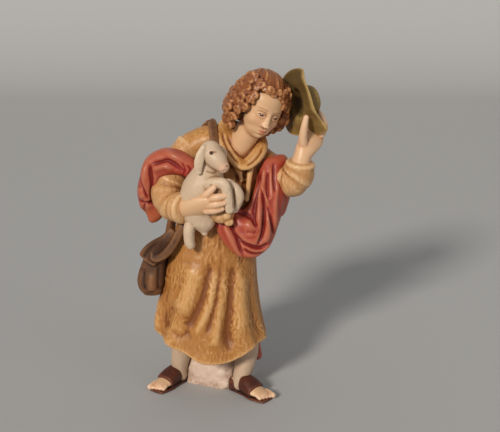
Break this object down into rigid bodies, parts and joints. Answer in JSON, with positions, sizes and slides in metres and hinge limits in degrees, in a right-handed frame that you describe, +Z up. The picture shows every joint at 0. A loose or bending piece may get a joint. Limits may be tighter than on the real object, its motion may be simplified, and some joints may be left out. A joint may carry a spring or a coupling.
{
  "type": "nativity shepherd figurine",
  "caption": "Standing youth in tunic and draped cloak, holding a lamb and lifting a hat, carved as one painted piece on two sandalled feet and a stone.",
  "frame": {"origin": "on the flat underside that the figure stands on, under the stone between the feet", "axes": "+Z up along the figure, -Y the way its chest faces, +X towards its left hand, which lifts the hat"},
  "size_m": [0.0857, 0.0524, 0.15],
  "materials": {
    "painted_wood": "satin hand-painted wood"
  },
  "bodies": {
    "root": {"shepherd_figure": "painted_wood"}
  },
  "joints": []
}
